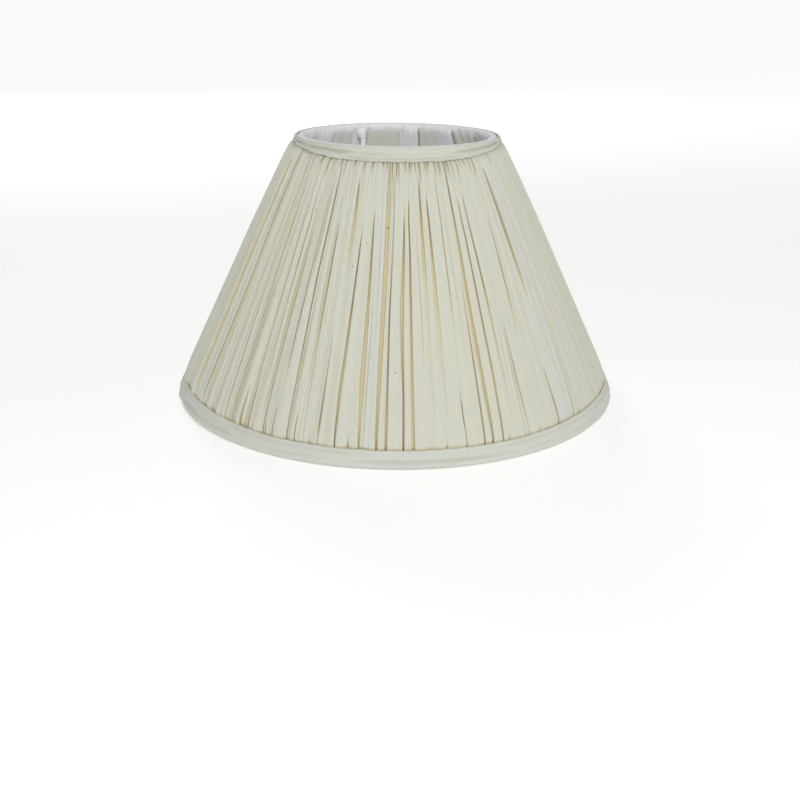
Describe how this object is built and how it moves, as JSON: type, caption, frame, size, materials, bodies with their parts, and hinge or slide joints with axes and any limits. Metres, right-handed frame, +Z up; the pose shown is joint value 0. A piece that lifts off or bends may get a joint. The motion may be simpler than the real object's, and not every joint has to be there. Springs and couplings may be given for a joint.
{
  "type": "gathered empire lamp shade",
  "caption": "Round tapered lamp shade in gathered natural cloth with bound rims, a white lining and a recessed ring fitter.",
  "frame": {"origin": "centre of the plane the shade stands on, at the lower edge of its bottom binding", "axes": "+Z up the shade's axis from the wide rim to the narrow rim; +X and +Y across it, with a strut 2 degrees round from +X"},
  "size_m": [0.3603, 0.3604, 0.2085],
  "materials": {
    "frame_wire": "gloss",
    "fitter_enamel": "gloss",
    "cotton_tape": "matte",
    "lining_cloth": "matte",
    "calico": "matte",
    "bias_binding": "matte"
  },
  "bodies": {
    "shade": {"bottom_ring": "frame_wire", "top_ring": "frame_wire", "strut_1": "frame_wire", "strut_2": "frame_wire", "strut_3": "frame_wire", "strut_4": "frame_wire", "strut_5": "frame_wire", "strut_6": "frame_wire", "strut_7": "frame_wire", "strut_8": "frame_wire", "fitter_arm_1": "fitter_enamel", "fitter_arm_2": "fitter_enamel", "fitter_arm_3": "fitter_enamel", "fitter_ring": "fitter_enamel", "bottom_ring_tape": "cotton_tape", "top_ring_tape": "cotton_tape", "lining": "lining_cloth", "cover": "calico", "bottom_trim": "bias_binding", "top_trim": "bias_binding", "neatener_1": "lining_cloth", "neatener_2": "lining_cloth", "neatener_3": "lining_cloth"}
  },
  "joints": []
}
